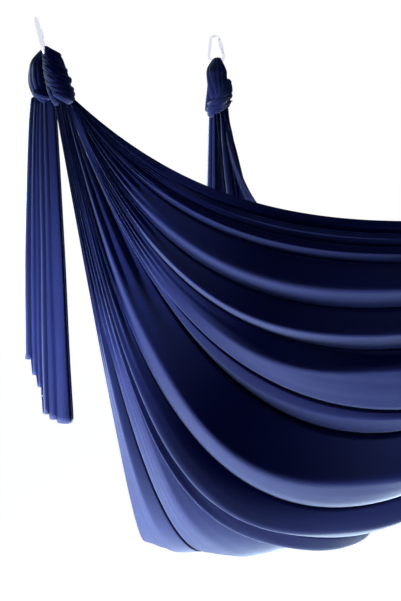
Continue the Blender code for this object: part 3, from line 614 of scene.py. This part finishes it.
def bundleFaces(sides, count, closed):
    faces = []
    for row in range(count if closed else count - 1):
        for k in range(sides):
            after, above = (k + 1) % sides, (row + 1) % count
            faces.append((row * sides + k, row * sides + after, above * sides + after, above * sides + k))
    if not closed:
        faces.append(tuple(reversed(range(sides))))
        faces.append(tuple((count - 1) * sides + k for k in range(sides)))
    return faces


def gatheredBundle(rows, flatWay, origin, pleats, twist, seed, closed):
    # a bundle of gathered cloth along a line of (right, ahead, up, half width, half thickness)
    line = smoothLine(rows, closed)
    spots = [viewSpot(origin, *row[:3]) for row in line]
    count, sides = len(line), knotSettings["sides"]
    warpRound, warpAlong = knotSettings["warpSteps"]
    lumpRound, lumpAlong = knotSettings["lumpSteps"]
    changeBase, changeSwing = knotSettings["pleatChange"]
    layRound, layAlong = knotSettings["bundleLay"]
    points, lay = [], []
    for index, spot in enumerate(spots):
        if closed:
            tangent = (spots[(index + 1) % count] - spots[index - 1]).normalized()
        else:
            tangent = (spots[min(index + 1, count - 1)] - spots[max(index - 1, 0)]).normalized()
        flat = (flatWay - tangent * flatWay.dot(tangent)).normalized()
        thick = tangent.cross(flat)
        for k in range(sides):
            angle = 2 * math.pi * k / sides
            across, up = math.cos(angle), math.sin(angle)
            warp = noise.noise(Vector((across * warpRound + seed, up * warpRound, index * warpAlong)))
            turn = angle + knotSettings["warpSize"] * warp + twist * index / count
            ridge = 1 - abs(math.sin(pleats * turn / 2))
            lump = noise.noise(Vector((across * lumpRound, up * lumpRound + seed, index * lumpAlong)))
            pleat = knotSettings["pleatDepth"] * ridge * ridge * (changeBase + changeSwing * lump)
            size = 1 - pleat + knotSettings["lumpSize"] * lump
            points.append(spot + flat * (across * line[index][3] * size)
                          + thick * (up * line[index][4] * size))
            lay.append((abs(2 * k / sides - 1) * layRound, abs(2 * index / count - 1) * layAlong))
    return points, bundleFaces(sides, count, closed), lay


def finishKnotPiece(name, bundles, node):
    points, faces, lay = [], [], []
    for spots, sides, places in bundles:
        faces.extend(tuple(len(points) + k for k in face) for face in sides)
        points.extend(spots)
        lay.extend(places)
    piece = makeCloth(name, points, faces, lay)
    shape = bmesh.new()
    shape.from_mesh(piece.data)
    bmesh.ops.recalc_face_normals(shape, faces=shape.faces)
    shape.to_mesh(piece.data)
    shape.free()
    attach(piece, "cloth")
    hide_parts(node)


def knotTurns(settings):
    # each turn of the knot: middle (right, up), tilt, half length, half depth, half width, half thickness
    first, last = settings["turns"]
    slip = knotSettings["slip"]
    turns = []
    for k in range(settings["turnCount"]):
        share = k / (settings["turnCount"] - 1)
        right, up, tilt, long, deep = (blend(a, b, share) for a, b in zip(first, last))
        swell = 1 + knotSettings["turnSwell"] * math.sin(math.pi * share)
        sideways = math.sin(slip["step"] * k + slip["start"])
        right, tilt = right + slip["right"] * sideways, tilt + slip["tilt"] * sideways
        turns.append((right, up, tilt, long * swell, deep * swell) + knotSettings["turnBand"])
    return turns + [turn + knotSettings["footBand"] for turn in settings["foot"]]


def turnRing(right, up, lean, long, deep, wide, thick):
    rows = []
    for k in range(knotSettings["ringPoints"]):
        angle = 2 * math.pi * k / knotSettings["ringPoints"]
        reach = long * math.cos(angle)
        rows.append((right + reach * math.cos(lean), deep * math.sin(angle), up + reach * math.sin(lean),
                     wide, thick))
    return rows


def buildKnot(end):
    settings = knotSettings[end]
    knot = knotPlace(end)
    bar, barWay = barPlace(end)
    bar -= knot
    crownUp = bar.z + knotSettings["crownGap"] + knotSettings["crownSize"][1]
    crown = (bar.dot(rightWay), bar.dot(aheadWay), crownUp) + knotSettings["crownSize"]
    rows = [crown if row == "crown" else row for row in settings["loop"]]
    loop = gatheredBundle(rows, barWay, knot, *knotSettings["loopPleats"], False)
    finishKnotPiece(end + "_loop_gather", [loop], end + "_knot_loop")
    pleats, twist, seed = knotSettings["turnPleats"]
    bundles = []
    for number, (right, up, tilt, long, deep, wide, thick) in enumerate(knotTurns(settings)):
        lean = math.radians(tilt)
        flatWay = Vector((0, 0, 1)) * math.cos(lean) - rightWay * math.sin(lean)
        ring = turnRing(right, up, lean, long, deep, wide, thick)
        bundles.append(gatheredBundle(ring, flatWay, knot, pleats, twist, seed + number, True))
    finishKnotPiece(end + "_knot_turns", bundles, end + "_knot_wrap")


buildKnot("front")
buildKnot("rear")
print("knots are tied")


# Carabiners

metalSettings = {
    "alloy": {"colour": (0.80, 0.81, 0.90, 1), "dull": (0.70, 0.71, 0.82, 1), "roughness": (0.22, 0.38),
              "parts": ["carabiner_frame", "gate", "lock_sleeve"]},
    "steel": {"colour": (0.62, 0.63, 0.66, 1), "dull": (0.45, 0.46, 0.50, 1), "roughness": (0.18, 0.32),
              "parts": ["gate_rivet", "latch_pin", "gate_spring", "spring_plunger"]},
    "polishScale": 220, "polishDetail": 4, "scuffScale": 900, "scuffDetail": 6, "scuffHeight": 0.00002,
}


def metalWearGroup():
    # polish that varies over the metal, and its fine scuffs
    group = bpy.data.node_groups.new("metalWear", "ShaderNodeTree")
    for way, name, kind in (("INPUT", "Bright", "NodeSocketColor"), ("INPUT", "Dull", "NodeSocketColor"),
                            ("INPUT", "Smooth", "NodeSocketFloat"), ("INPUT", "Rough", "NodeSocketFloat"),
                            ("OUTPUT", "Colour", "NodeSocketColor"),
                            ("OUTPUT", "Roughness", "NodeSocketFloat"),
                            ("OUTPUT", "Height", "NodeSocketFloat")):
        group.interface.new_socket(name, in_out=way, socket_type=kind)
    nodes, links = group.nodes, group.links
    given = nodes.new("NodeGroupInput")
    result = nodes.new("NodeGroupOutput")
    place = nodes.new("ShaderNodeTexCoord")
    cloud = noiseTexture(nodes, links, place, metalSettings["polishScale"], metalSettings["polishDetail"])
    tint = nodes.new("ShaderNodeMix")
    tint.data_type = "RGBA"
    links.new(cloud, tint.inputs["Factor"])
    links.new(given.outputs["Dull"], tint.inputs["A"])
    links.new(given.outputs["Bright"], tint.inputs["B"])
    links.new(tint.outputs["Result"], result.inputs["Colour"])
    rough = nodes.new("ShaderNodeMapRange")
    links.new(cloud, rough.inputs["Value"])
    links.new(given.outputs["Smooth"], rough.inputs["To Min"])
    links.new(given.outputs["Rough"], rough.inputs["To Max"])
    links.new(rough.outputs["Result"], result.inputs["Roughness"])
    scuff = noiseTexture(nodes, links, place, metalSettings["scuffScale"], metalSettings["scuffDetail"])
    links.new(scuff, result.inputs["Height"])
    return group


metalWear = metalWearGroup()


def metalMaterial(name):
    settings = metalSettings[name]
    material, nodes, links, surface = newMaterial(name)
    surface.inputs["Metallic"].default_value = 1.0
    wear = nodes.new("ShaderNodeGroup")
    wear.node_tree = metalWear
    wear.inputs["Bright"].default_value = settings["colour"]
    wear.inputs["Dull"].default_value = settings["dull"]
    wear.inputs["Smooth"].default_value, wear.inputs["Rough"].default_value = settings["roughness"]
    links.new(wear.outputs["Colour"], surface.inputs["Base Color"])
    links.new(wear.outputs["Roughness"], surface.inputs["Roughness"])
    addBump(nodes, links, wear.outputs["Height"], metalSettings["scuffHeight"], surface)
    return material


for metalName in ("alloy", "steel"):
    metal = metalMaterial(metalName)
    for end in ("front", "rear"):
        for part in metalSettings[metalName]["parts"]:
            frame["nodes"][end + "_" + part].material_slots[0].material = metal
print("carabiners are finished")
